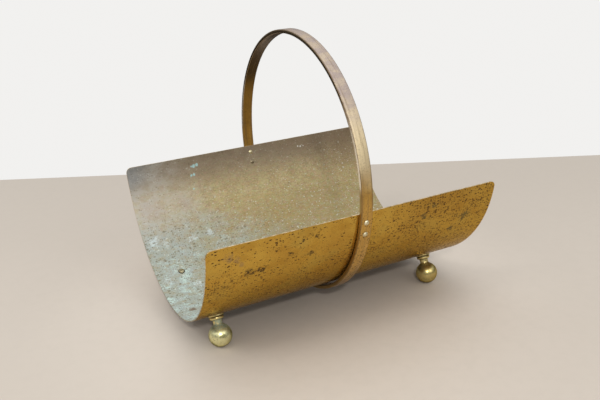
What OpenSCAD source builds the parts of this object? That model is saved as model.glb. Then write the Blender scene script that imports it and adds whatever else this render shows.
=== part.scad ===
// Brass magazine rack: a rolled sheet trough, open at both ends, held in a closed
// flat-bar hoop that is also its carrying handle, on four turned ball feet.
// Millimetres, +Z up. The origin is on the floor under the middle of the rack.
// X runs along the trough, and the front of the rack faces -Y.

/* [Trough] */
// Length of the rolled sheet along X
trough_length = 400; // [340:5:480]
// Radius of the roll, to the inner face of the sheet
trough_radius = 172.8; // [140:0.2:210]
// Thickness of the sheet
sheet_thickness = 1.5; // [1:0.1:3]
// Angle that the sheet wraps round, from rim to rim
wrap_angle = 165; // [140:1:174]
// Radius of the sheet's four rounded corners
corner_radius = 8; // [2:0.5:20]

/* [Hoop] */
// Width of the flat bar along X
hoop_width = 16; // [11:0.5:24]
// Thickness of the flat bar
hoop_thickness = 5; // [3:0.5:8]
// Distance of the hoop's centre below the centre of the roll
hoop_drop = 4; // [0:0.5:6]

/* [Rivets] */
// Diameter of the rivet shank
rivet_diameter = 4; // [3:0.1:5]
// Diameter of the domed head on the hoop
rivet_head_diameter = 7; // [6:0.1:9]
// Height of the domed head on the hoop
rivet_head_height = 2; // [1:0.1:3]
// Diameter of the closed head inside the trough
rivet_tail_diameter = 6.4; // [5.6:0.1:8]
// Height of the closed head inside the trough
rivet_tail_height = 1.2; // [0.8:0.1:2]
// Distance from the rim down the sheet to the upper rivet
rivet_edge_distance = 10.5; // [8:0.5:20]
// Distance down the sheet between the two rivets of a side
rivet_pitch = 16; // [12:0.5:24]

/* [Feet] */
// Distance along X between the left and right feet
foot_spacing = 325; // [260:5:400]
// Angle of each foot from straight down, about the axis of the roll
foot_angle = 23.5; // [15:0.5:35]
// Diameter of the ball
ball_diameter = 30.5; // [24:0.5:36]
// Distance from the outer face of the sheet to the centre of the ball
ball_distance = 27.7; // [25:0.1:34]
// Diameter of the neck above the ball
neck_diameter = 11.6; // [9:0.1:14]
// Diameter of the flange against the sheet
flange_diameter = 21; // [18:0.5:26]
// Height of the flange
flange_height = 2.6; // [2:0.1:4]
// Diameter of the rounded bead under the flange
bead_diameter = 18.6; // [16:0.1:22]
// Height of the rounded bead
bead_height = 4.6; // [3:0.1:6]

/* [Foot screws] */
// Diameter of the screw shank
screw_diameter = 5; // [4:0.1:6]
// Diameter of the screw head
screw_head_diameter = 9.6; // [8:0.1:12]
// Height of the screw head
screw_head_height = 2.6; // [2:0.1:4]
// Width of the driver slot
slot_width = 1.2; // [0.8:0.1:2]
// Depth of the driver slot
slot_depth = 1.3; // [0.8:0.1:1.6]
// Length of shank in the foot
screw_reach = 16; // [10:0.5:20]

/* [Fits] */
// Clearance between faces that seat on each other
seat_clearance = 0.1; // [0.05:0.05:0.3]
// Radial clearance of a rivet in its holes, and of a screw in its foot
shank_clearance = 0.05; // [0.05:0.05:0.2]
// Radial clearance of a screw in the sheet
screw_hole_clearance = 0.3; // [0.1:0.05:0.6]

/* [Hidden] */

$fn = 128;
cut = 1;
// A corner's arc runs this far past the end and the rim, so that it crosses both cleanly
corner_ease = 0.02;

left = -1;
right = 1;
front = -1;
back = 1;

sheet_brass = "#a27c36";
bar_brass = "#a58a5e";
turned_brass = "#b3a050";
bright_brass = "#c9bfa0";

outer_radius = trough_radius + sheet_thickness;
rim_angle = wrap_angle / 2;
ball_radius = ball_diameter / 2;

// The ball touches the floor at z = 0
roll_height = (outer_radius + ball_distance) * cos(foot_angle) + ball_radius;
rim_height = roll_height - trough_radius * cos(rim_angle);

// The hoop's inner face passes just outside the rims, where the sheet bears on it
hoop_height = roll_height - hoop_drop;
rim_reach = outer_radius * sin(rim_angle);
rim_depth = outer_radius * cos(rim_angle) - hoop_drop;
hoop_inner_radius = sqrt(rim_reach ^ 2 + rim_depth ^ 2) + seat_clearance;
hoop_outer_radius = hoop_inner_radius + hoop_thickness;

// Arc lengths down the sheet, turned into angles about the roll
upper_rivet_angle = rim_angle - rivet_edge_distance / outer_radius * 180 / PI;
lower_rivet_angle = upper_rivet_angle - rivet_pitch / outer_radius * 180 / PI;

rivet_hole_diameter = rivet_diameter + 2 * shank_clearance;
tapped_diameter = screw_diameter + 2 * shank_clearance;
screw_hole_diameter = screw_diameter + 2 * screw_hole_clearance;
tapped_depth = screw_reach + cut;
saddle_depth = outer_radius - sqrt(outer_radius ^ 2 - (flange_diameter / 2) ^ 2);

// Height that a flat head needs to clear the hollow of a curved seat
function hollow(seat_radius, head_diameter) =
    seat_radius - sqrt(seat_radius ^ 2 - (head_diameter / 2) ^ 2);

// Distance from the axis of the roll to the hoop's outer face, along a ray at an angle
function hoop_face(angle) =
    hoop_drop * cos(angle) + sqrt(hoop_outer_radius ^ 2 - (hoop_drop * sin(angle)) ^ 2);

// Local +Z points out from the axis of the roll, at an angle from straight down
module on_ray(x, angle) {
    translate([x, 0, roll_height])
        rotate([angle + 180, 0, 0])
            children();
}

// Cylinder that lies along X
module x_cylinder(radius, length) {
    rotate([0, 90, 0])
        cylinder(r = radius, h = length, center = true);
}

// Cap of a sphere, standing on z = 0
module dome(diameter, height) {
    sphere_radius = (diameter ^ 2 / 4 + height ^ 2) / (2 * height);
    intersection() {
        translate([0, 0, height - sphere_radius])
            sphere(r = sphere_radius);
        cylinder(d = diameter, h = height);
    }
}

module rolled_sheet() {
    translate([0, 0, roll_height])
        rotate([90, 0, 90])
            rotate([0, 0, -90 - rim_angle])
                rotate_extrude(angle = wrap_angle)
                    translate([trough_radius, -trough_length / 2])
                        square([sheet_thickness, trough_length]);
}

// Takes the sharp corner off the sheet at one end of one rim
module corner_cutter(end, side) {
    inset = corner_radius - corner_ease;
    block = corner_radius + cut;
    depth = outer_radius / 2;
    translate([end * (trough_length / 2 - inset), side * outer_radius, rim_height - inset])
        difference() {
            translate([end * block / 2, 0, block / 2])
                cube([block, depth, block], center = true);
            rotate([90, 0, 0])
                cylinder(r = corner_radius, h = depth + 2 * cut, center = true);
        }
}

module rivet_holes() {
    for (side = [front, back])
        for (angle = [upper_rivet_angle, lower_rivet_angle])
            on_ray(0, side * angle)
                translate([0, 0, outer_radius])
                    cylinder(d = rivet_hole_diameter, h = 4 * hoop_thickness, center = true);
}

module screw_holes() {
    for (end = [left, right])
        for (side = [front, back])
            on_ray(end * foot_spacing / 2, side * foot_angle)
                translate([0, 0, trough_radius - cut])
                    cylinder(d = screw_hole_diameter, h = sheet_thickness + 2 * cut);
}

module trough() {
    color(sheet_brass)
        difference() {
            rolled_sheet();
            for (end = [left, right])
                for (side = [front, back])
                    corner_cutter(end, side);
            rivet_holes();
            screw_holes();
        }
}

module hoop() {
    color(bar_brass)
        difference() {
            translate([0, 0, hoop_height])
                difference() {
                    x_cylinder(hoop_outer_radius, hoop_width);
                    x_cylinder(hoop_inner_radius, hoop_width + 2 * cut);
                }
            rivet_holes();
        }
}

// Domed head on the hoop, shank through hoop and sheet, closed head in the trough
module rivet(side, angle) {
    head_seat = hoop_face(angle) + seat_clearance;
    tail_seat = trough_radius - hollow(trough_radius, rivet_tail_diameter) - seat_clearance;
    grip = head_seat - tail_seat;
    color(bright_brass)
        on_ray(0, side * angle) {
            translate([0, 0, head_seat])
                dome(rivet_head_diameter, rivet_head_height);
            translate([0, 0, tail_seat - rivet_tail_height / 2])
                cylinder(d = rivet_diameter, h = grip + (rivet_head_height + rivet_tail_height) / 2);
            translate([0, 0, tail_seat])
                mirror([0, 0, 1])
                    dome(rivet_tail_diameter, rivet_tail_height);
        }
}

// Rounded bead round the foot, standing on z = 0
module bead() {
    bead_radius = bead_height / 2;
    cylinder(d = bead_diameter - bead_height, h = bead_height);
    translate([0, 0, bead_radius])
        rotate_extrude()
            translate([bead_diameter / 2 - bead_radius, 0])
                circle(r = bead_radius);
}

// One turned piece: flange, bead, neck and ball, tapped for its screw
module foot(end, side) {
    color(turned_brass)
        on_ray(end * foot_spacing / 2, side * foot_angle)
            difference() {
                translate([0, 0, outer_radius]) {
                    translate([0, 0, -saddle_depth])
                        cylinder(d = flange_diameter, h = flange_height + saddle_depth);
                    translate([0, 0, flange_height])
                        bead();
                    cylinder(d = neck_diameter, h = ball_distance);
                    translate([0, 0, ball_distance])
                        sphere(d = ball_diameter);
                }
                x_cylinder(outer_radius + seat_clearance, 2 * flange_diameter);
                translate([0, 0, trough_radius])
                    cylinder(d = tapped_diameter, h = sheet_thickness + tapped_depth);
            }
}

// Slotted screw, driven from inside the trough into its foot
module screw(end, side) {
    seat = trough_radius - hollow(trough_radius, screw_head_diameter) - seat_clearance;
    color(bright_brass)
        on_ray(end * foot_spacing / 2, side * foot_angle) {
            translate([0, 0, seat])
                mirror([0, 0, 1])
                    difference() {
                        dome(screw_head_diameter, screw_head_height);
                        translate([0, 0, screw_head_height])
                            cube([slot_width, screw_head_diameter + cut, 2 * slot_depth],
                                center = true);
                    }
            translate([0, 0, seat])
                cylinder(d = screw_diameter, h = outer_radius + screw_reach - seat);
        }
}

trough();
hoop();
rivet(front, upper_rivet_angle);  // rivet_front_upper
rivet(front, lower_rivet_angle);  // rivet_front_lower
rivet(back, upper_rivet_angle);  // rivet_back_upper
rivet(back, lower_rivet_angle);  // rivet_back_lower
foot(left, front);  // foot_front_left
foot(right, front);  // foot_front_right
foot(left, back);  // foot_back_left
foot(right, back);  // foot_back_right
screw(left, front);  // screw_front_left
screw(right, front);  // screw_front_right
screw(left, back);  // screw_back_left
screw(right, back);  // screw_back_right
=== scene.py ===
import math

import bmesh
import bpy
from mathutils import Matrix, Vector, noise


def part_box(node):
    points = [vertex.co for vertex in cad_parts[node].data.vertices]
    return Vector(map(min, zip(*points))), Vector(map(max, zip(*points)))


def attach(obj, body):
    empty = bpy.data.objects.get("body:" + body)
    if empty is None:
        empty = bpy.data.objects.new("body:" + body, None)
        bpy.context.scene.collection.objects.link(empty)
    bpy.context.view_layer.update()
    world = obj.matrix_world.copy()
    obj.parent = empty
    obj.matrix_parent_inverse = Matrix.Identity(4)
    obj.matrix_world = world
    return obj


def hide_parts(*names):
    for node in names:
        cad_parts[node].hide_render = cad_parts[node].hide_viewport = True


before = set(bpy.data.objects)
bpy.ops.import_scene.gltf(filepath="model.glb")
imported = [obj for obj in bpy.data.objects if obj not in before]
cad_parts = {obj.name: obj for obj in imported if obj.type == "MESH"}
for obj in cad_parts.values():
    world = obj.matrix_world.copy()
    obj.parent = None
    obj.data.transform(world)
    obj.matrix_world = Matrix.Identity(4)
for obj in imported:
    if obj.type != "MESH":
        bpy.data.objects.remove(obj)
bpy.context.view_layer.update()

MM = 0.001
LEFT, RIGHT, FRONT, BACK = -1, 1, -1, 1

# Sizes that the boxes of the CAD nodes don't give, as in the part's source
WRAP = math.radians(165)
SHEET = 1.5 * MM
CORNER = 8 * MM
HOOP_THICKNESS = 5 * MM
HOOP_DROP = 4 * MM
RIVET_DIAMETER = 4 * MM
RIVET_HEAD_DIAMETER = 7 * MM
RIVET_HEAD_HEIGHT = 2 * MM
RIVET_TAIL_DIAMETER = 6.4 * MM
RIVET_TAIL_HEIGHT = 1.2 * MM
RIVET_EDGE_DISTANCE = 10.5 * MM
RIVET_PITCH = 16 * MM
FOOT_ANGLE = math.radians(23.5)
BALL_RADIUS = 15.25 * MM
BALL_DISTANCE = 27.7 * MM
SCREW_DIAMETER = 5 * MM
SCREW_HEAD_DIAMETER = 9.6 * MM
SCREW_HEAD_HEIGHT = 2.6 * MM
SCREW_REACH = 16 * MM
SLOT_WIDTH = 1.2 * MM
SLOT_DEPTH = 1.3 * MM
SEAT_CLEARANCE = 0.1 * MM
SHANK_CLEARANCE = 0.05 * MM
SCREW_HOLE_CLEARANCE = 0.3 * MM

# Details that only the visual model has
RIM_BEVEL = 0.32 * MM
BAR_EASE = 0.9 * MM
RIVET_HEAD_EDGE = 0.35 * MM
RIVET_TAIL_EDGE = 0.3 * MM
SCREW_HEAD_EDGE = 0.5 * MM
SCREW_TIP_CHAMFER = 0.8 * MM
SCREW_RIM_SHADE_WIDTH = 1.1 * MM
SADDLE_HEIGHT = 2.4 * MM
WAVER_HEIGHT = 0.30 * MM
DENT_DEPTH = 0.12 * MM

# Material slots of the sheet
OUTSIDE, INSIDE, EDGE = 0, 1, 2

# Middle of the rack, which the lights face
MIDDLE = Vector((0, 0, 0.15))

# Edges sharper than these angles, in degrees, stay crisp
SHEET_SHARP = 20
BAR_SHARP = 30
TURNED_SHARP = 35
RIVET_SHARP = 40

trough_low, trough_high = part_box("trough")
hoop_low, hoop_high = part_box("hoop")
foot_low, foot_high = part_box("foot_front_right")
LENGTH = trough_high.x - trough_low.x
OUTER = trough_high.y / math.sin(WRAP / 2)
INNER = OUTER - SHEET
AXIS_Z = trough_low.z + OUTER
HOOP_WIDTH = hoop_high.x - hoop_low.x
HOOP_OUTER = (hoop_high.z - hoop_low.z) / 2
HOOP_Z = (hoop_high.z + hoop_low.z) / 2
FOOT_X = (foot_low.x + foot_high.x) / 2
UPPER_RIVET = WRAP / 2 - RIVET_EDGE_DISTANCE / OUTER
LOWER_RIVET = UPPER_RIVET - RIVET_PITCH / OUTER


def on_ray(x, angle):
    """Frame whose +Z points out from the axis of the roll, at an angle from straight down."""
    return Matrix.Translation((x, 0, AXIS_Z)) @ Matrix.Rotation(angle + math.pi, 4, "X")


# ---------------------------------------------------------------- materials


class Nodes:
    """A short way to write a material's nodes.

    Positions are the object's own, in metres. The scales of noises and specks are
    features per metre. A mask is 0 to 1.
    """

    def __init__(self, name):
        self.material = bpy.data.materials.new(name)
        self.material.use_nodes = True
        self.tree = self.material.node_tree
        self.tree.nodes.clear()
        self.position = self.add("ShaderNodeTexCoord").outputs["Object"]
        split = self.add("ShaderNodeSeparateXYZ", Vector=self.position)
        self.x, self.y, self.z = split.outputs
        self.flat = None

    def add(self, kind, settings=None, **inputs):
        node = self.tree.nodes.new(kind)
        for key, value in (settings or {}).items():
            setattr(node, key, value)
        for key, value in inputs.items():
            self.feed(node.inputs[key.replace("_", " ")], value)
        return node

    def feed(self, socket, value):
        if isinstance(value, bpy.types.NodeSocket):
            self.tree.links.new(value, socket)
        else:
            socket.default_value = value

    def feed_colour(self, socket, colour):
        self.feed(socket, colour if isinstance(colour, bpy.types.NodeSocket) else (*colour, 1))

    def math(self, operation, a, b=0.0, clamp=False):
        node = self.add("ShaderNodeMath", {"operation": operation, "use_clamp": clamp})
        self.feed(node.inputs[0], a)
        self.feed(node.inputs[1], b)
        return node.outputs[0]

    def plus(self, a, b):
        return self.math("ADD", a, b)

    def minus(self, a, b):
        return self.math("SUBTRACT", a, b)

    def times(self, a, b):
        return self.math("MULTIPLY", a, b)

    def without(self, mask):
        return self.minus(1.0, mask)

    def swing(self, cloud, amount):
        """A noise as a push up or down, about 0."""
        return self.times(self.minus(cloud, 0.5), amount)

    def step(self, value, low, high):
        """0 below low and 1 above high. With low over high it runs the other way."""
        node = self.add("ShaderNodeMapRange", {"interpolation_type": "SMOOTHSTEP"})
        first, last = (0.0, 1.0) if low < high else (1.0, 0.0)
        self.feed(node.inputs["Value"], value)
        node.inputs["From Min"].default_value = min(low, high)
        node.inputs["From Max"].default_value = max(low, high)
        node.inputs["To Min"].default_value = first
        node.inputs["To Max"].default_value = last
        return node.outputs["Result"]

    def any_of(self, *masks):
        total = masks[0]
        for mask in masks[1:]:
            total = self.math("MAXIMUM", total, mask)
        return total

    def blend(self, fac, a, b):
        """Between two numbers."""
        node = self.add("ShaderNodeMix", {"data_type": "FLOAT"})
        self.feed(node.inputs[0], fac)
        self.feed(node.inputs[2], a)
        self.feed(node.inputs[3], b)
        return node.outputs[0]

    def mix(self, fac, a, b):
        """Between two colours."""
        node = self.add("ShaderNodeMix", {"data_type": "RGBA"})
        self.feed(node.inputs[0], fac)
        self.feed_colour(node.inputs[6], a)
        self.feed_colour(node.inputs[7], b)
        return node.outputs[2]

    def layer(self, under, mask, amount, colour):
        """A colour laid over another where the mask is, as thick as the amount."""
        return self.mix(self.times(mask, amount), under, colour)

    def tinted(self, colour, scale, amount, at):
        """Small shifts of hue and tone, as on old patina."""
        cloud = self.add("ShaderNodeTexNoise", Vector=at, Scale=scale, Detail=3, Roughness=0.7)
        node = self.add("ShaderNodeMix", {"data_type": "RGBA", "blend_type": "OVERLAY"})
        self.feed(node.inputs[0], amount)
        self.feed(node.inputs[6], colour)
        self.feed(node.inputs[7], cloud.outputs["Color"])
        return node.outputs[2]

    def from_axis(self, centre_z):
        """Distance from an axis that lies along X."""
        up = self.minus(self.z, centre_z)
        squares = self.plus(self.times(self.y, self.y), self.times(up, up))
        return self.math("SQRT", squares)

    def unroll(self, centre_z, radius):
        """Position along X and round a roll, for marks that lie in the surface."""
        down = self.minus(centre_z, self.z)
        arc = self.times(self.math("ARCTAN2", self.y, down), radius)
        self.flat = self.add("ShaderNodeCombineXYZ", X=self.x, Y=arc).outputs[0]

    def laid(self, scale, shift=(0, 0), ragged=0.0):
        """The unrolled position, stretched, shifted, and disturbed by up to ragged millimetres."""
        at = self.flat
        if ragged:
            stir = self.add("ShaderNodeTexNoise", Vector=at, Scale=900, Detail=1)
            away = self.add("ShaderNodeVectorMath", {"operation": "SUBTRACT"})
            self.feed(away.inputs[0], stir.outputs["Color"])
            away.inputs[1].default_value = (0.5, 0.5, 0.5)
            far = self.add("ShaderNodeVectorMath", {"operation": "SCALE"}, Vector=away.outputs[0])
            far.inputs["Scale"].default_value = ragged * MM
            moved = self.add("ShaderNodeVectorMath", {"operation": "ADD"})
            self.feed(moved.inputs[0], at)
            self.feed(moved.inputs[1], far.outputs[0])
            at = moved.outputs[0]
        node = self.add("ShaderNodeMapping", Vector=at)
        node.inputs["Scale"].default_value = (*scale, 1)
        node.inputs["Location"].default_value = (*shift, 0)
        return node.outputs[0]

    def noise(self, scale, detail=3.0, roughness=0.55, at=None):
        node = self.add("ShaderNodeTexNoise", Vector=at or self.position, Scale=scale,
                        Detail=detail, Roughness=roughness)
        return node.outputs["Fac"]

    def specks(self, scale, share, size, at, where=None):
        """Round specks of many sizes: share of the cells hold one, at most size of a cell wide."""
        cells = self.add("ShaderNodeTexVoronoi", {"voronoi_dimensions": "2D"}, Vector=at,
                         Scale=scale)
        chance, spread, _ = self.add(
            "ShaderNodeSeparateColor", Color=cells.outputs["Color"]).outputs
        if where is not None:
            share = self.times(where, share)
        kept = self.math("LESS_THAN", chance, share)
        reach = self.times(self.plus(spread, 0.25), size * 0.8)
        outwards = self.math("DIVIDE", cells.outputs["Distance"], reach)
        inside = self.math("SUBTRACT", 1.0, outwards, clamp=True)
        return self.times(self.step(inside, 0.0, 0.45), kept)

    def spot(self, centre, radius, soft=0.5, ragged=0.35, grain=180.0):
        """A ragged patch round a point, in millimetres."""
        away = self.add("ShaderNodeVectorMath", {"operation": "DISTANCE"})
        self.feed(away.inputs[0], self.position)
        away.inputs[1].default_value = Vector(centre) * MM
        rough = self.swing(self.noise(grain), ragged * 4)
        reach = self.plus(self.math("DIVIDE", away.outputs["Value"], radius * MM), rough)
        return self.step(reach, 1.0, 1.0 - soft)

    def spots(self, *marks, **looks):
        """Several ragged patches, each given as its centre and radius."""
        return self.any_of(*[self.spot(centre, radius, **looks) for centre, radius in marks])

    def bump(self, height, distance, strength, under=None):
        node = self.add("ShaderNodeBump", Height=height)
        node.inputs["Distance"].default_value = distance
        node.inputs["Strength"].default_value = strength
        if under is not None:
            self.feed(node.inputs["Normal"], under)
        return node.outputs[0]

    def finish(self, colour, metallic, roughness, normal, **more):
        shader = self.add("ShaderNodeBsdfPrincipled")
        self.feed_colour(shader.inputs["Base Color"], colour)
        self.feed(shader.inputs["Metallic"], metallic)
        self.feed(shader.inputs["Roughness"], roughness)
        for key, value in more.items():
            self.feed(shader.inputs[key.replace("_", " ")], value)
        self.feed(shader.inputs["Normal"], normal)
        self.add("ShaderNodeOutputMaterial", Surface=shader.outputs[0])
        return self.material


def sheet_outside():
    """Golden brown brass, pitted in clusters, with painted shade that makes it browner lower down
    and nearly black underneath.
    """
    n = Nodes("sheet_outside")
    n.unroll(AXIS_Z, OUTER)
    broad = n.noise(9, 4, 0.6)
    mottled = n.noise(60, 4, 0.65, at=n.laid((0.6, 1.0)))
    fine = n.noise(500, 3, 0.6)
    # Painted shade: the lower part is painted browner, where it faces the shaded floor
    low = n.step(n.z, 0.098, 0.032)
    colour = n.mix(n.step(broad, 0.35, 0.68), (0.50, 0.285, 0.050), (0.62, 0.385, 0.068))
    colour = n.layer(colour, n.step(mottled, 0.45, 0.7), 0.50, (0.42, 0.215, 0.032))
    colour = n.layer(colour, n.step(fine, 0.5, 0.75), 0.35, (0.33, 0.17, 0.03))
    colour = n.layer(colour, low, 0.85, (0.19, 0.105, 0.026))
    # Painted shade: a nearly black band underneath, below where the key light reaches
    under = n.step(n.plus(n.z, n.swing(mottled, 0.006)), 0.0530, 0.0490)
    colour = n.layer(colour, under, 0.65, (0.050, 0.030, 0.016))
    olive = n.step(n.noise(26, 3, 0.6, at=n.laid((0.7, 1), (0.8, 0.1))), 0.50, 0.66)
    colour = n.layer(colour, olive, 0.40, (0.52, 0.37, 0.085))
    rightward = n.step(n.x, -0.02, 0.10)
    colour = n.layer(colour, rightward, 0.25, (0.37, 0.20, 0.04))

    # Pits, large ones only in clusters, with more at the right and fewer by the left part's rim
    patches = n.noise(17, 3, 0.6, at=n.laid((1, 1), (0.3, 0.7)))
    clean_rim = n.times(n.step(n.z, 0.115, 0.150), n.without(rightward))
    lean = n.minus(n.times(rightward, 0.09), n.times(clean_rim, 0.07))
    clusters = n.step(n.plus(patches, lean), 0.40, 0.60)
    everywhere = n.plus(n.times(clusters, 0.72), 0.28)
    everywhere = n.times(everywhere, n.blend(clean_rim, 1.0, 0.7))
    small = n.specks(760, 0.40, 0.60, n.laid((0.55, 1.0), ragged=0.5), everywhere)
    middle = n.specks(520, 0.40, 0.60, n.laid((0.50, 1.0), (0.1, 0.3), ragged=0.7), everywhere)
    large = n.specks(250, 0.12, 0.42, n.laid((0.55, 1.0), (0.5, 0.2), ragged=1.4), clusters)
    pits = n.any_of(n.times(small, 0.7), middle, large)
    colour = n.layer(colour, pits, 0.92, (0.100, 0.045, 0.014))

    # The larger marks
    scuff = n.spots(((-172, -171, 163), 8), ((-164, -169, 157), 7), ((-157, -166, 150), 5),
                    soft=0.9, ragged=0.7)
    colour = n.layer(colour, scuff, 0.45, (0.24, 0.17, 0.12))
    burnt = n.any_of(
        n.spots(((-146, -162, 135), 8), ((-133, -161, 134), 7), ((-69, -163, 140), 5),
                ragged=0.6),
        n.spots(((-63, -170, 163), 4.5), ((-81, -170, 161), 3.5), ((-96, -166, 146), 4)))
    burnt = n.times(burnt, n.step(n.noise(330), 0.36, 0.56))
    green = n.any_of(
        n.spots(((160, -161, 135), 8), ((144, -153, 117), 7), ragged=0.6),
        n.spots(((91, -167, 151), 6), ((104, -170, 163), 4)))
    green = n.times(green, n.step(n.noise(300), 0.36, 0.56))
    colour = n.layer(colour, burnt, 0.9, (0.05, 0.028, 0.016))
    colour = n.layer(colour, green, 0.75, (0.105, 0.085, 0.035))

    marks = n.any_of(pits, burnt, green)
    rough = n.blend(marks, n.blend(n.step(mottled, 0.35, 0.7), 0.20, 0.31), 0.75)
    metal = n.blend(marks, 0.93, 0.55)
    normal = n.bump(n.minus(n.times(fine, 0.25), marks), 0.00025, 0.7)
    normal = n.bump(n.noise(38, 2), 0.0006, 0.30, normal)
    return n.finish(colour, metal, rough, normal, Specular_Tint=(0.85, 0.72, 0.50, 1))


def sheet_inside():
    """Dull olive grey brass with pale specks, under verdigris at the left and low down."""
    n = Nodes("sheet_inside")
    n.unroll(AXIS_Z, INNER)
    broad = n.noise(9, 3, 0.5, at=n.laid((0.6, 1.3)))
    mottled = n.noise(75, 5, 0.72, at=n.laid((0.7, 1.0)))
    fine = n.noise(420, 4, 0.75, at=n.laid((0.8, 1.0)))
    drift = n.swing(broad, 0.06)
    height = n.plus(n.z, drift)
    along = n.plus(n.x, n.times(drift, 3.0))
    grain = n.plus(n.times(mottled, 0.45), n.times(fine, 0.55))
    colour = n.mix(n.step(grain, 0.38, 0.62), (0.31, 0.240, 0.112), (0.49, 0.400, 0.215))
    colour = n.layer(colour, n.step(broad, 0.42, 0.65), 0.5, (0.42, 0.32, 0.13))
    lower_right = n.times(n.step(height, 0.125, 0.075), n.step(along, -0.09, 0.03))
    colour = n.layer(colour, lower_right, 0.5, (0.29, 0.215, 0.085))
    colour = n.tinted(colour, 260, 0.30, n.laid((0.6, 1.0), (0.3, 0.9)))
    band = n.step(height, 0.108, 0.172)
    colour = n.layer(colour, band, 0.70, (0.265, 0.208, 0.170))
    brown = n.times(n.step(along, 0.045, 0.17), n.step(height, 0.09, 0.14))
    colour = n.layer(colour, brown, 0.48, (0.22, 0.15, 0.08))
    slate = n.times(n.step(along, -0.145, -0.185), n.step(height, 0.13, 0.165))
    colour = n.layer(colour, slate, 0.75, (0.235, 0.255, 0.275))
    leftmost = n.times(n.step(along, -0.07, -0.19), n.blend(n.step(mottled, 0.4, 0.6), 0.4, 0.8))
    leftmost = n.times(leftmost, n.blend(slate, 1.0, 0.4))
    colour = n.mix(leftmost, colour, (0.46, 0.45, 0.42))
    mauve = n.spots(((-175, 146, 110), 28), ((-120, 150, 116), 18), soft=0.9, grain=40)
    colour = n.layer(colour, mauve, 0.45, (0.38, 0.32, 0.29))

    # Verdigris, thickest in the bottom of the left end, thinning to the right and upwards
    leftward = n.step(along, 0.12, -0.16)
    amount = n.times(n.step(height, 0.128, 0.035), n.blend(leftward, 0.30, 1.0))
    patches = n.noise(34, 4, 0.6, at=n.laid((0.75, 1.1), (0.9, 0.4)))
    amount_here = n.plus(amount, n.plus(n.swing(mottled, 1.6), n.swing(fine, 2.0)))
    film = n.step(amount_here, 0.20, 1.10)
    crust = n.step(n.plus(amount_here, n.swing(patches, 1.6)), 1.00, 1.35)
    colour = n.layer(colour, film, 0.72, (0.305, 0.370, 0.335))
    bluer = n.times(n.step(patches, 0.46, 0.62), n.times(amount, leftward))
    colour = n.layer(colour, bluer, 0.55, (0.40, 0.47, 0.49))
    colour = n.layer(colour, crust, 0.80, (0.52, 0.66, 0.59))
    tan = n.step(n.noise(95, 4, 0.7, at=n.laid((0.8, 1), (0.6, 0.2))), 0.53, 0.62)
    colour = n.layer(colour, n.times(tan, amount), 0.60, (0.36, 0.315, 0.20))
    chalk = n.spots(((-185, 118, 76), 9), ((-168, 112, 70), 7), ((-128, 112, 69), 8),
                    ((-100, 116, 72), 6), ((-185, 60, 36), 8), ((-150, 40, 30), 9), ragged=0.9)
    chalk = n.times(chalk, n.step(grain, 0.40, 0.58))
    colour = n.layer(colour, chalk, 0.75, (0.60, 0.68, 0.68))
    bare = n.any_of(n.specks(230, 0.25, 0.46, n.laid((0.7, 1), (0.7, 0.1), ragged=2)),
                    n.specks(480, 0.25, 0.55, n.laid((0.7, 1), (0.2, 0.5), ragged=1)))
    bare = n.times(bare, n.step(amount, 0.05, 0.6))
    colour = n.layer(colour, bare, 0.75, (0.17, 0.140, 0.080))

    # Fine specks, then the single marks, most of them near the far rim
    thick = n.step(n.plus(height, n.times(along, -0.15)), 0.150, 0.085)
    pale = n.any_of(
        n.times(n.specks(700, 0.14, 0.60, n.laid((0.8, 1), ragged=0.6)), 0.55),
        n.times(n.specks(430, 0.09, 0.54, n.laid((0.8, 1), (0.4, 0.2), ragged=1)), 0.9),
        n.specks(250, 0.035, 0.40, n.laid((0.7, 1), (0.2, 0.8), ragged=1.5)))
    pale = n.times(pale, n.blend(thick, 0.45, 1.0))
    colour = n.layer(colour, pale, 0.65, (0.66, 0.68, 0.60))
    dark = n.specks(480, 0.14, 0.52, n.laid((0.7, 1), (0.9, 0.6), ragged=1))
    colour = n.layer(colour, dark, 0.45, (0.14, 0.105, 0.06))
    turquoise = n.spots(((-92, 169, 164), 2.8), ((-97, 169, 163), 3.2), ((-101, 169, 163), 2.0),
                        ((-99, 165, 150), 2.4), ((-103, 165, 150), 2.6), ((-104, 158, 130), 2.2))
    colour = n.layer(colour, turquoise, 0.8, (0.40, 0.66, 0.66))
    chips = n.spots(((84, 168, 163), 1.7), ((89, 168, 162), 2.0), ((94, 168, 162), 1.4))
    colour = n.mix(chips, colour, (0.72, 0.70, 0.64))
    rust = n.spot((-179, -25, 29), 6, ragged=0.6)
    colour = n.layer(colour, rust, 0.8, (0.16, 0.09, 0.04))

    covered = n.any_of(film, pale, turquoise)
    metal = n.blend(covered, 0.60, 0.12)
    rough = n.blend(covered, n.blend(n.step(mottled, 0.3, 0.7), 0.42, 0.52), 0.78)
    relief = n.plus(n.times(fine, 0.5), n.times(n.any_of(crust, pale), 0.6))
    return n.finish(colour, metal, rough, n.bump(relief, 0.0003, 0.6))


def sheet_edge():
    """The sheared edge of the sheet, rubbed bright, and tarnished low down."""
    n = Nodes("sheet_edge")
    wear_and_highlight = n.noise(160, 3, 0.6)
    colour = n.mix(n.step(wear_and_highlight, 0.42, 0.62), (0.42, 0.31, 0.15), (0.74, 0.62, 0.42))
    tarnished = n.times(n.step(n.z, 0.15, 0.06), n.step(n.noise(230), 0.36, 0.52))
    colour = n.layer(colour, tarnished, 0.85, (0.15, 0.15, 0.10))
    metal = n.blend(tarnished, 0.85, 0.35)
    return n.finish(colour, metal, n.blend(wear_and_highlight, 0.30, 0.45), n.bump(n.noise(700), 0.0001, 0.5))


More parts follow.
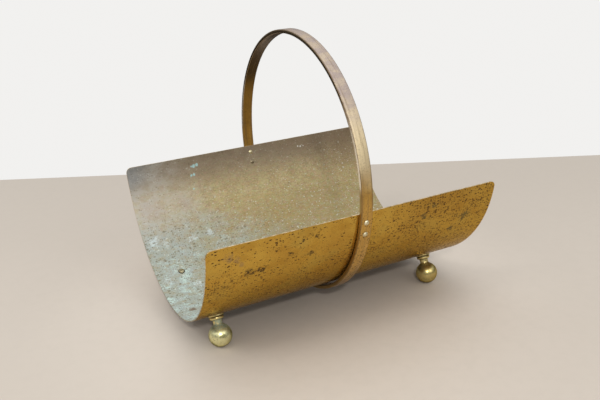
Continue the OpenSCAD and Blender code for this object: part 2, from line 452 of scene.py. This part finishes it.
def hoop_bar():
    """Drawn flat bar: brown patina under a painted highlight, sheen and shade; side faces rubbed
    and painted pale above the sheet.
    """
    n = Nodes("hoop_bar")
    n.unroll(HOOP_Z, HOOP_OUTER)
    broad = n.noise(14, 3, 0.6)
    mottled = n.noise(85, 4, 0.65)
    fine = n.noise(520, 3, 0.6)
    streak = n.noise(320, 3, 0.6, at=n.laid((1, 0.06)))
    level = n.plus(n.z, n.swing(broad, 0.05))
    across = n.math("ABSOLUTE", n.x)
    edge = HOOP_WIDTH / 2
    outer_face = n.step(n.from_axis(HOOP_Z), HOOP_OUTER - 2.0 * MM, HOOP_OUTER - 1.0 * MM)
    side = n.step(across, edge - 0.35 * MM, edge - 0.10 * MM)

    colour = n.mix(n.step(broad, 0.38, 0.66), (0.42, 0.245, 0.060), (0.54, 0.335, 0.085))
    colour = n.layer(colour, n.step(mottled, 0.46, 0.70), 0.50, (0.27, 0.155, 0.05))
    golden = n.times(n.step(level, 0.215, 0.185), n.step(level, 0.06, 0.10))
    colour = n.layer(colour, golden, 0.5, (0.72, 0.43, 0.105))
    # Painted highlight: the front of the bar near rim height is painted pale where it catches the
    # light
    wear_and_highlight = n.times(n.step(level, 0.200, 0.245), n.step(n.y, 0.06, -0.10))
    colour = n.layer(colour, wear_and_highlight, 0.78, (0.86, 0.74, 0.49))
    # Painted sheen: the upper arc's outer face is painted pale mauve grey, over a duller metal
    painted_sheen = n.times(n.step(level, 0.255, 0.325), n.blend(n.step(mottled, 0.35, 0.6), 0.55, 0.9))
    painted_sheen = n.times(painted_sheen, outer_face)
    colour = n.mix(painted_sheen, colour, (0.41, 0.335, 0.320))
    # Painted shade: the inner faces high on the hoop are painted dark brown
    under = n.times(n.step(level, 0.245, 0.310), n.without(outer_face))
    colour = n.layer(colour, under, 0.90, (0.075, 0.050, 0.032))
    drawn = n.step(n.noise(300, 2, 0.5, at=n.laid((1, 0.03), (0.4, 0.2))), 0.50, 0.66)
    colour = n.layer(colour, drawn, 0.45, (0.24, 0.155, 0.08))
    low = n.step(n.z, 0.10, 0.03)
    colour = n.layer(colour, low, 0.6, (0.22, 0.125, 0.04))
    pitted = n.blend(n.step(level, 0.20, 0.14), 0.25, 1.0)
    pits = n.times(n.specks(620, 0.50, 0.60, n.laid((0.8, 0.8), ragged=0.8)), pitted)
    colour = n.layer(colour, pits, 0.80, (0.10, 0.055, 0.028))

    # The side faces, partly painted pale as a glint, and the painted shade along the corners
    # beside them
    # Painted highlight as well as polish: above the sheet the side faces are painted pale so they
    # glint
    rubbed = n.step(level, 0.204, 0.216)
    bright = n.mix(n.step(mottled, 0.55, 0.75), (0.88, 0.80, 0.66), (0.50, 0.38, 0.22))
    aged = n.mix(n.step(level, 0.260, 0.300), bright, (0.33, 0.24, 0.14))
    colour = n.mix(side, colour, n.mix(rubbed, (0.44, 0.28, 0.09), aged))
    # Painted shade: a dark line beside the side faces, along the bar's eased corners
    corner_shade = n.times(n.step(across, edge - 1.1 * MM, edge - 0.75 * MM), n.without(side))
    corner_shade = n.times(corner_shade, n.blend(n.step(mottled, 0.40, 0.60), 0.45, 0.9))
    colour = n.mix(corner_shade, colour, (0.15, 0.095, 0.05))

    rough = n.blend(n.step(streak, 0.35, 0.68), 0.28, 0.42)
    rough = n.plus(rough, n.times(wear_and_highlight, 0.10))
    rough = n.blend(side, n.blend(pits, rough, 0.65), n.blend(rubbed, 0.40, 0.16))
    normal = n.bump(n.plus(streak, n.times(fine, 0.4)), 0.00008, 0.6)
    normal = n.bump(n.noise(48, 2), 0.0004, 0.3, normal)
    dull = n.any_of(painted_sheen, n.times(wear_and_highlight, n.without(side)))
    return n.finish(colour, n.blend(dull, 0.92, 0.66), rough, normal)


def turned_brass(name, patina):
    """Lathe-turned brass: tarnished, with painted shade in its grooves and at the ball's bottom,
    and verdigris in the neck.
    """
    n = Nodes(name)
    out = n.minus(n.from_axis(AXIS_Z), OUTER)
    broad = n.noise(75, 3, 0.6)
    mottled = n.noise(260, 4, 0.65)
    ball = n.step(out, 12 * MM, 16 * MM)
    colour = n.mix(n.step(broad, 0.35, 0.65), (0.56, 0.40, 0.12), (0.68, 0.54, 0.20))
    colour = n.layer(colour, n.step(mottled, 0.45, 0.75), 0.4, (0.36, 0.26, 0.08))
    colour = n.mix(n.minus(0.7, n.times(ball, 0.7)), colour, (0.86, 0.72, 0.34))
    colour = n.layer(colour, ball, patina * 0.85, (0.98, 0.99, 0.60))
    blotches = n.times(n.step(n.noise(110, 4, 0.7), 0.50, 0.62), ball)
    colour = n.layer(colour, blotches, 0.40 + 0.45 * patina, (0.30, 0.28, 0.11))
    # Painted contact shadow: the ball is painted dark at its bottom, by the floor
    ball_contact_shadow = n.step(n.z, 8 * MM, 1 * MM)
    colour = n.layer(colour, ball_contact_shadow, 0.7, (0.17, 0.145, 0.075))

    # Painted shade against the sheet, between flange and bead, and under the bead
    from_groove = n.math("ABSOLUTE", n.minus(out, 2.8 * MM))
    from_neck = n.math("ABSOLUTE", n.minus(out, 7.6 * MM))
    groove_shade = n.any_of(n.step(from_groove, 0.9 * MM, 0.3 * MM), n.step(out, 0.7 * MM, 0.2 * MM),
                       n.step(from_neck, 0.9 * MM, 0.4 * MM))
    colour = n.layer(colour, groove_shade, 0.85, (0.07, 0.05, 0.02))

    neck = n.times(n.step(out, 5.5 * MM, 8.0 * MM), n.step(out, 25 * MM, 14 * MM))
    green = n.times(n.times(n.step(mottled, 0.34, 0.56), neck), patina)
    colour = n.mix(green, colour, (0.36, 0.44, 0.35))
    crumbs = n.times(n.step(n.noise(520, 3, 0.7), 0.60, 0.68), patina * 0.7)
    colour = n.mix(crumbs, colour, (0.45, 0.50, 0.42))
    bare_rough = n.blend(n.step(mottled, 0.4, 0.7), 0.27 + 0.08 * patina, 0.40)
    metal = n.blend(n.any_of(green, crumbs), 0.96, 0.25)
    return n.finish(colour, metal, n.blend(green, bare_rough, 0.7),
                    n.bump(mottled, 0.00012, 0.5), Specular_Tint=(0.50, 0.42, 0.22, 1))


def fastener_brass(name, light, dark, roughness):
    """Rivet or screw metal, light where it is rubbed and dark in its hollows."""
    n = Nodes(name)
    wear_and_highlight = n.noise(420, 4, 0.65)
    colour = n.mix(n.step(wear_and_highlight, 0.40, 0.64), dark, light)
    rough = n.blend(wear_and_highlight, roughness, roughness + 0.18)
    return n.finish(colour, 0.85, rough, n.bump(wear_and_highlight, 0.0001, 0.6))


# ---------------------------------------------------------------- shapes


def new_object(name, mesh, node):
    """A piece that stands for a CAD node, hung from the root, with that node hidden."""
    piece = bpy.data.objects.new(name, mesh)
    bpy.context.scene.collection.objects.link(piece)
    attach(piece, "root")
    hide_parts(node)
    return piece


def mesh_from(name, vertices, faces, materials, sharp_angle):
    mesh = bpy.data.meshes.new(name)
    mesh.from_pydata([tuple(v) for v in vertices], [], faces)
    mesh.validate()
    for material in materials:
        mesh.materials.append(material)
    smooth(mesh, sharp_angle)
    return mesh


def smooth(mesh, sharp_angle):
    """Smooth shading, with crisp edges where faces meet at more than an angle in degrees."""
    mesh.polygons.foreach_set("use_smooth", [True] * len(mesh.polygons))
    mesh.set_sharp_from_angle(angle=math.radians(sharp_angle))
    mesh.update()


def face_outwards(mesh):
    work = bmesh.new()
    work.from_mesh(mesh)
    bmesh.ops.recalc_face_normals(work, faces=work.faces)
    work.to_mesh(mesh)
    work.free()


def growing(distance, start, over):
    """0 up to the start, then evenly up to 1 over a further distance."""
    return min(1.0, max(0.0, (distance - start) / over))


def arc_points(centre, radius, start, end, count):
    """Points on an arc, angles in degrees from local +r towards +z."""
    points = []
    for i in range(count + 1):
        a = math.radians(start + (end - start) * i / count)
        points.append((centre[0] + radius * math.cos(a), centre[1] + radius * math.sin(a)))
    return points


def lathe(profile, segments):
    """Turns a profile of (r, z) points about Z. Points with r = 0 become poles."""
    vertices, faces, rings = [], [], []
    for r, z in profile:
        if r < 1e-9:
            rings.append([len(vertices)])
            vertices.append(Vector((0, 0, z)))
            continue
        ring = []
        for i in range(segments):
            a = 2 * math.pi * i / segments
            ring.append(len(vertices))
            vertices.append(Vector((r * math.cos(a), r * math.sin(a), z)))
        rings.append(ring)
    for low, high in zip(rings, rings[1:]):
        for i in range(segments):
            j = (i + 1) % segments
            if len(low) == 1:
                faces.append((low[0], high[j], high[i]))
            elif len(high) == 1:
                faces.append((low[i], low[j], high[0]))
            else:
                faces.append((low[i], low[j], high[j], high[i]))
    return vertices, faces


def rod(radius, low, high, matrix):
    """A closed cylinder from low to high along the matrix's Z."""
    vertices, faces = lathe([(0, low), (radius, low), (radius, high), (0, high)], segments=48)
    mesh = mesh_from("rod", [matrix @ v for v in vertices], faces, [], BAR_SHARP)
    face_outwards(mesh)
    return mesh


def cut_with(piece, cutter_meshes):
    """Cuts closed meshes out of a piece, with the result applied."""
    cutters = []
    for mesh in cutter_meshes:
        cutter = bpy.data.objects.new("cutter", mesh)
        bpy.context.scene.collection.objects.link(cutter)
        cutters.append(cutter)
        modifier = piece.modifiers.new("cut", "BOOLEAN")
        modifier.solver = "EXACT"
        modifier.object = cutter
    bpy.context.view_layer.update()
    evaluated = piece.evaluated_get(bpy.context.evaluated_depsgraph_get())
    result = bpy.data.meshes.new_from_object(evaluated)
    piece.modifiers.clear()
    piece.data = result
    for cutter in cutters:
        bpy.data.objects.remove(cutter)


def waver(x, s):
    """How far the old sheet stands off a true roll at x along it and s round it.

    It is nil at the hoop and at the feet, where the sheet is held.
    """
    free = growing(abs(x), 22 * MM, 50 * MM)
    for side in (FRONT, BACK):
        from_foot = math.hypot(abs(x) - FOOT_X, s - side * FOOT_ANGLE * OUTER)
        free *= growing(from_foot, 13 * MM, 30 * MM)
    broad = noise.noise(Vector((x * 11, s * 9, 3.7)))
    short = noise.noise(Vector((x * 27, s * 24, 8.1)))
    return WAVER_HEIGHT * (broad + 0.5 * short) * free


def build_trough(outside, inside, edge):
    """Rolled sheet as a fitted grid: both faces, the cut edges and the rounded corners."""
    half = OUTER * WRAP / 2
    corner_steps, body_rows = 9, 124
    # An odd count keeps the grid's lines off the rivet bores' own corners
    columns = 111
    drops = [CORNER * (1 - math.cos(math.radians(90 * i / corner_steps)))
             for i in range(corner_steps)]
    flat = half - CORNER
    rows = [-half + drop for drop in drops]
    rows += [-flat + 2 * flat * i / body_rows for i in range(body_rows + 1)]
    rows += [half - drop for drop in reversed(drops)]
    outer_grid, inner_grid, vertices = [], [], []
    for s in rows:
        drop = half - abs(s)
        reach = LENGTH / 2
        if drop < CORNER:
            reach -= CORNER - math.sqrt(max(0.0, CORNER ** 2 - (CORNER - drop) ** 2))
        angle = s / OUTER
        outer_row, inner_row = [], []
        for i in range(columns + 1):
            x = reach * (2 * i / columns - 1)
            lift = waver(x, s)
            for radius, row in ((OUTER + lift, outer_row), (INNER + lift, inner_row)):
                row.append(len(vertices))
                vertices.append((x, radius * math.sin(angle), AXIS_Z - radius * math.cos(angle)))
        outer_grid.append(outer_row)
        inner_grid.append(inner_row)
    faces, kinds = [], []
    for r in range(len(rows) - 1):
        for c in range(columns):
            for grid, kind in ((outer_grid, OUTSIDE), (inner_grid, INSIDE)):
                faces.append((grid[r][c], grid[r][c + 1], grid[r + 1][c + 1], grid[r + 1][c]))
                kinds.append(kind)
        for c in (0, columns):
            faces.append((outer_grid[r][c], outer_grid[r + 1][c],
                          inner_grid[r + 1][c], inner_grid[r][c]))
            kinds.append(EDGE)
    for r in (0, len(rows) - 1):
        for c in range(columns):
            faces.append((outer_grid[r][c], outer_grid[r][c + 1],
                          inner_grid[r][c + 1], inner_grid[r][c]))
            kinds.append(EDGE)
    mesh = mesh_from("sheet", vertices, faces, [outside, inside, edge], SHEET_SHARP)
    mesh.polygons.foreach_set("material_index", kinds)
    work = bmesh.new()
    work.from_mesh(mesh)
    bmesh.ops.recalc_face_normals(work, faces=work.faces)
    rims = [e for e in work.edges
            if {f.material_index for f in e.link_faces} in ({OUTSIDE, EDGE}, {INSIDE, EDGE})]
    bmesh.ops.bevel(work, geom=rims, offset=RIM_BEVEL, segments=2, profile=0.5, affect="EDGES",
                    clamp_overlap=True, material=EDGE)
    work.to_mesh(mesh)
    work.free()
    piece = new_object("rolled_sheet", mesh, "trough")
    low, high = INNER - 4 * MM, OUTER + 4 * MM
    rivet_hole = RIVET_DIAMETER / 2 + SHANK_CLEARANCE
    screw_hole = SCREW_DIAMETER / 2 + SCREW_HOLE_CLEARANCE
    holes = []
    for side in (FRONT, BACK):
        for angle in (UPPER_RIVET, LOWER_RIVET):
            holes.append(rod(rivet_hole, low, high, on_ray(0, side * angle)))
        for end in (LEFT, RIGHT):
            holes.append(rod(screw_hole, low, high, on_ray(end * FOOT_X, side * FOOT_ANGLE)))
    cut_with(piece, holes)
    smooth(piece.data, SHEET_SHARP)


def build_hoop(material):
    """Flat bar with eased edges, closed into a ring and bored for the rivets."""
    x_corner = HOOP_WIDTH / 2 - BAR_EASE
    outer_corner = HOOP_OUTER - BAR_EASE
    inner_corner = HOOP_OUTER - HOOP_THICKNESS + BAR_EASE
    section = []
    for x, r, start in ((x_corner, outer_corner, 0), (-x_corner, outer_corner, 90),
                        (-x_corner, inner_corner, 180), (x_corner, inner_corner, 270)):
        section += arc_points((x, r), BAR_EASE, start, start + 90, 4)
    around = 288
    vertices, faces = [], []
    for i in range(around):
        a = 2 * math.pi * i / around
        for x, r in section:
            vertices.append((x, r * math.sin(a), HOOP_Z + r * math.cos(a)))
    count = len(section)
    for i in range(around):
        j = (i + 1) % around
        for k in range(count):
            m = (k + 1) % count
            faces.append((i * count + k, i * count + m, j * count + m, j * count + k))
    mesh = mesh_from("bar", vertices, faces, [material], BAR_SHARP)
    face_outwards(mesh)
    piece = new_object("hoop_bar", mesh, "hoop")
    low, high = OUTER - 6 * MM, OUTER + 14 * MM
    holes = [rod(RIVET_DIAMETER / 2 + SHANK_CLEARANCE, low, high, on_ray(0, side * angle))
             for side in (FRONT, BACK) for angle in (UPPER_RIVET, LOWER_RIVET)]
    cut_with(piece, holes)
    smooth(piece.data, BAR_SHARP)


def cap_profile(diameter, height, edge, count=10):
    """Half outline of a dome from its rim to its top, with its lower edge a little rounded."""
    radius = (diameter ** 2 / 4 + height ** 2) / (2 * height)
    points = [(diameter / 2 - edge * 0.3, 0), (diameter / 2, edge * 0.5)]
    widest = math.asin(min(1.0, (diameter / 2 - edge * 0.1) / radius))
    for i in range(1, count + 1):
        a = widest * (1 - i / count)
        points.append((radius * math.sin(a), height - radius * (1 - math.cos(a))))
    points[-1] = (0, height)
    return [p for i, p in enumerate(points) if i < 2 or p[1] > edge * 0.5]


def build_rivet(name, side, angle, seed, material):
    """Domed head on the hoop, shank, and a closed head in the trough, both heads hammered."""
    hoop_face = HOOP_DROP * math.cos(angle) + math.sqrt(
        HOOP_OUTER ** 2 - (HOOP_DROP * math.sin(angle)) ** 2)
    head = hoop_face + SEAT_CLEARANCE
    tail = math.sqrt(INNER ** 2 - (RIVET_TAIL_DIAMETER / 2) ** 2) - SEAT_CLEARANCE
    shank = RIVET_DIAMETER / 2
    dome = cap_profile(RIVET_HEAD_DIAMETER, RIVET_HEAD_HEIGHT, RIVET_HEAD_EDGE)
    closed = cap_profile(RIVET_TAIL_DIAMETER, RIVET_TAIL_HEIGHT, RIVET_TAIL_EDGE)
    profile = [(r, tail - z) for r, z in reversed(closed)]
    profile += [(shank, tail), (shank, head)]
    profile += [(r, head + z) for r, z in dome]
    vertices, faces = lathe(profile, segments=40)
    matrix = on_ray(0, side * angle)
    seat_kept = 0.4 * MM
    placed = []
    for v in vertices:
        dent = DENT_DEPTH * noise.noise(Vector((v.x * 420 + seed, v.y * 420, v.z * 420)))
        hammered = v.z > head + seat_kept or v.z < tail - seat_kept
        placed.append(matrix @ (v + Vector((0, 0, dent if hammered else 0))))
    mesh = mesh_from(name, placed, faces, [material], RIVET_SHARP)
    face_outwards(mesh)
    new_object("riveted_" + name, mesh, name)


def foot_profile():
    """Half outline of a foot, from its bore out over flange, bead, neck and ball."""
    # In millimetres up to the last line
    ball_radius, ball_distance = BALL_RADIUS / MM, BALL_DISTANCE / MM
    bore = (SCREW_DIAMETER / 2 + SHANK_CLEARANCE) / MM
    bore_depth, drill_point, lead_in = 16.6, 17.6, 0.3
    neck_radius, meeting_radius = 5.9, 7.9
    points = [(0, drill_point), (bore, bore_depth), (bore, lead_in), (bore + lead_in, 0)]
    # The seat, in enough steps to be hollowed to the roll
    points += [(r, 0) for r in (3.6, 4.6, 5.6, 6.6, 7.6, 8.6, 9.4, 10.1)]
    # The flange's two rounded edges, and the groove above it
    points += arc_points((10.0, 0.5), 0.5, -60, 0, 3)
    points += arc_points((9.9, 2.0), 0.6, 0, 90, 5)
    points += arc_points((8.6, 3.1), 0.5, -90, -150, 3)
    # The bead, and the curve from it into the neck
    points += arc_points((7.0, 4.9), 2.3, -42, 62, 12)
    points += arc_points((8.3, 8.4), 2.3, -120, -180, 6)
    # The neck, which flares to meet the ball
    neck_top = ball_distance - math.sqrt(ball_radius ** 2 - neck_radius ** 2)
    points += [(r, neck_top + rise) for r, rise in
               ((5.85, -3.2), (5.8, -2.2), (5.95, -1.2), (6.4, -0.3), (7.1, 0.42))]
    start = math.degrees(math.asin(meeting_radius / ball_radius)) - 90
    ball = arc_points((0, ball_distance), ball_radius, start, 90, 40)
    ball[-1] = (0, ball_distance + ball_radius)
    return [(r * MM, z * MM) for r, z in points + ball]


def build_foot(name, end, side, material):
    """One turned piece, its flange hollowed to seat on the roll."""
    matrix = on_ray(end * FOOT_X, side * FOOT_ANGLE)
    vertices, faces = lathe(foot_profile(), segments=72)
    placed = []
    for v in vertices:
        saddle = math.sqrt((OUTER + SEAT_CLEARANCE) ** 2 - v.y ** 2) - OUTER
        weight = 1 - growing(v.z, 0, SADDLE_HEIGHT)
        placed.append(matrix @ (v + Vector((0, 0, OUTER + saddle * weight))))
    mesh = mesh_from(name, placed, faces, [material], TURNED_SHARP)
    face_outwards(mesh)
    new_object("turned_" + name, mesh, name)


def build_screw(name, end, side, turn, materials):
    """Slotted domed screw: its slot is cut, and points its own way. Painted shade darkens its rim.
    """
    matrix = on_ray(end * FOOT_X, side * FOOT_ANGLE)
    head_radius = SCREW_HEAD_DIAMETER / 2
    seat = math.sqrt(INNER ** 2 - head_radius ** 2) - SEAT_CLEARANCE
    cap = cap_profile(SCREW_HEAD_DIAMETER, SCREW_HEAD_HEIGHT, SCREW_HEAD_EDGE, count=14)
    shank = SCREW_DIAMETER / 2
    tip = OUTER + SCREW_REACH
    profile = [(r, seat - z) for r, z in reversed(cap)]
    profile += [(shank, seat), (shank, tip - SCREW_TIP_CHAMFER),
                (shank - SCREW_TIP_CHAMFER, tip), (0, tip)]
    vertices, faces = lathe(profile, segments=56)
    mesh = mesh_from(name, [matrix @ v for v in vertices], faces, materials, TURNED_SHARP)
    for polygon in mesh.polygons:
        middle = matrix.inverted() @ polygon.center
        # Painted shade: faces near the head's rim take the dark material
        rim_in_shade = math.hypot(middle.x, middle.y) > head_radius - SCREW_RIM_SHADE_WIDTH
        polygon.material_index = 1 if rim_in_shade else 0
    face_outwards(mesh)
    piece = new_object("driven_" + name, mesh, name)
    work = bmesh.new()
    bmesh.ops.create_cube(work, size=1)
    shape = Matrix.Diagonal((SLOT_WIDTH, SCREW_HEAD_DIAMETER + 2 * MM, 2 * SLOT_DEPTH, 1))
    place = Matrix.Translation((0, 0, seat - SCREW_HEAD_HEIGHT))
    bmesh.ops.transform(work, matrix=matrix @ Matrix.Rotation(turn, 4, "Z") @ place @ shape,
                        verts=work.verts)
    slot_mesh = bpy.data.meshes.new("slot")
    work.to_mesh(slot_mesh)
    work.free()
    cut_with(piece, [slot_mesh])
    smooth(piece.data, BAR_SHARP)


build_trough(sheet_outside(), sheet_inside(), sheet_edge())
build_hoop(hoop_bar())
rivet_metal = fastener_brass("rivet_brass", (0.86, 0.79, 0.56), (0.52, 0.44, 0.24), 0.26)
screw_metal = fastener_brass("screw_brass", (0.50, 0.46, 0.30), (0.30, 0.25, 0.14), 0.40)
# Painted shade for the rims of the screw heads
screw_rim_shade = fastener_brass("screw_rim_shade", (0.15, 0.13, 0.09), (0.07, 0.055, 0.035), 0.55)
dull_rivet = fastener_brass("rivet_brass_dull", (0.42, 0.36, 0.24), (0.20, 0.16, 0.10), 0.40)
clean_feet = turned_brass("turned_brass", 0.15)
stained_foot = turned_brass("turned_brass_stained", 0.85)
for row, angle in (("upper", UPPER_RIVET), ("lower", LOWER_RIVET)):
    for word, side in (("front", FRONT), ("back", BACK)):
        metal = dull_rivet if (word, row) == ("back", "lower") else rivet_metal
        build_rivet(f"rivet_{word}_{row}", side, angle, 10 * angle + side, metal)
SLOT_TURNS = {"front_left": 0.6, "front_right": 2.1, "back_left": 1.25, "back_right": 0.2}
for word, side in (("front", FRONT), ("back", BACK)):
    for hand, end in (("left", LEFT), ("right", RIGHT)):
        where = f"{word}_{hand}"
        metal = stained_foot if where == "front_left" else clean_feet
        build_foot("foot_" + where, end, side, metal)
        build_screw("screw_" + where, end, side, SLOT_TURNS[where], (screw_metal, screw_rim_shade))


# ---------------------------------------------------------------- camera


def look(position, azimuth, elevation, roll=0):
    """Camera matrix, angles in degrees. At azimuth 0 it looks along +Y; elevation lifts it."""
    azimuth, elevation, roll = (math.radians(angle) for angle in (azimuth, elevation, roll))
    back = Vector((math.sin(azimuth) * math.cos(elevation),
                   -math.cos(azimuth) * math.cos(elevation), math.sin(elevation)))
    right = (-back).cross(Vector((0, 0, 1))).normalized()
    up = right.cross(-back)
    rolled = math.cos(roll) * right + math.sin(roll) * up
    above = math.cos(roll) * up - math.sin(roll) * right
    matrix = Matrix((rolled, above, back)).transposed().to_4x4()
    matrix.translation = position
    return matrix


camera = bpy.data.objects.new("camera", bpy.data.cameras.new("camera"))
bpy.context.scene.collection.objects.link(camera)
camera.data.sensor_width = 36
camera.data.lens = 41.33
camera.matrix_world = look(Vector((-0.4003, -0.8158, 0.4867)), azimuth=-26.16,
                           elevation=20.93, roll=-2.96)
bpy.context.scene.camera = camera


# ---------------------------------------------------------------- floor and light


def build_floor():
    """A pale floor that ends behind the rack, where the pale backdrop begins."""
    n = Nodes("floor")
    broad = n.noise(1.6, 3, 0.5)
    fine = n.noise(60, 4, 0.6)
    colour = n.mix(n.step(broad, 0.3, 0.7), (0.590, 0.525, 0.453), (0.620, 0.553, 0.480))
    colour = n.layer(colour, n.step(fine, 0.4, 0.7), 0.3, (0.56, 0.50, 0.43))
    # Painted shade: the floor is painted darker away from the rack, as light falling off
    away = n.add("ShaderNodeVectorMath", {"operation": "LENGTH"}, Vector=n.position)
    falloff_shade = n.step(away.outputs["Value"], 0.22, 0.42)
    colour = n.layer(colour, falloff_shade, 0.45, (0.47, 0.42, 0.362))
    material = n.finish(colour, 0.0, 0.62, n.bump(fine, 0.0003, 0.25))
    point_on_far_edge = Vector((0.247, 0.513, 0))
    along = Vector((0.883, -0.4693, 0))
    sideways = along * 6
    near = Vector((along.y, -along.x, 0)) * 7
    left, right = point_on_far_edge - sideways, point_on_far_edge + sideways
    mesh = mesh_from("floor", [left, right, right + near, left + near], [(0, 3, 2, 1)],
                     [material], BAR_SHARP)
    floor = bpy.data.objects.new("floor", mesh)
    bpy.context.scene.collection.objects.link(floor)


def area_light(name, azimuth, elevation, distance, size, power, colour=(1, 1, 1)):
    """A square light that faces the rack's middle."""
    light = bpy.data.lights.new(name, "AREA")
    light.shape = "SQUARE"
    light.size = size
    light.energy = power
    light.color = colour
    lamp = bpy.data.objects.new(name, light)
    bpy.context.scene.collection.objects.link(lamp)
    turn = look(Vector((0, 0, 0)), azimuth, elevation)
    lamp.matrix_world = (
        Matrix.Translation(MIDDLE) @ turn @ Matrix.Translation((0, 0, distance)))


def build_world():
    """A pale even backdrop. What lights the rack is a pale ceiling, over a dark room."""
    world = bpy.data.worlds.new("studio")
    bpy.context.scene.world = world
    world.use_nodes = True
    tree = world.node_tree
    tree.nodes.clear()
    link = tree.links.new
    place = tree.nodes.new("ShaderNodeTexCoord")
    overhead = tree.nodes.new("ShaderNodeVectorMath")
    overhead.operation = "DOT_PRODUCT"
    overhead.inputs[1].default_value = (-0.04, 0.10, 0.99)
    link(place.outputs["Generated"], overhead.inputs[0])
    # From -1 straight down and 1 straight up to the ramp's 0 and 1
    half = tree.nodes.new("ShaderNodeMath")
    half.operation = "MULTIPLY_ADD"
    half.inputs[1].default_value = 0.5
    half.inputs[2].default_value = 0.5
    link(overhead.outputs["Value"], half.inputs[0])
    ramp = tree.nodes.new("ShaderNodeValToRGB")
    stops = ((0.46, (0.012, 0.010, 0.008)), (0.56, (0.09, 0.088, 0.086)),
             (0.73, (0.76, 0.76, 0.76)), (1.0, (1.24, 1.24, 1.24)))
    for position, colour in stops[1:-1]:
        ramp.color_ramp.elements.new(position)
    for element, (position, colour) in zip(ramp.color_ramp.elements, stops):
        element.position = position
        element.color = (*colour, 1)
    link(half.outputs[0], ramp.inputs[0])
    lit = tree.nodes.new("ShaderNodeBackground")
    link(ramp.outputs[0], lit.inputs[0])
    seen = tree.nodes.new("ShaderNodeBackground")
    seen.inputs[0].default_value = (0.885, 0.877, 0.862, 1)
    rays = tree.nodes.new("ShaderNodeLightPath")
    both = tree.nodes.new("ShaderNodeMixShader")
    link(rays.outputs["Is Camera Ray"], both.inputs[0])
    link(lit.outputs[0], both.inputs[1])
    link(seen.outputs[0], both.inputs[2])
    out = tree.nodes.new("ShaderNodeOutputWorld")
    link(both.outputs[0], out.inputs[0])


build_floor()
build_world()
area_light("flash", azimuth=-21, elevation=30.4, distance=1.9, size=0.09, power=8.5,
           colour=(1.0, 0.97, 0.93))
area_light("soft_right", azimuth=20, elevation=30, distance=2.8, size=1.3, power=7,
           colour=(1.0, 0.99, 0.96))
area_light("soft_left", azimuth=-72, elevation=46, distance=2.1, size=0.6, power=8)
bpy.context.scene.view_settings.view_transform = "Standard"
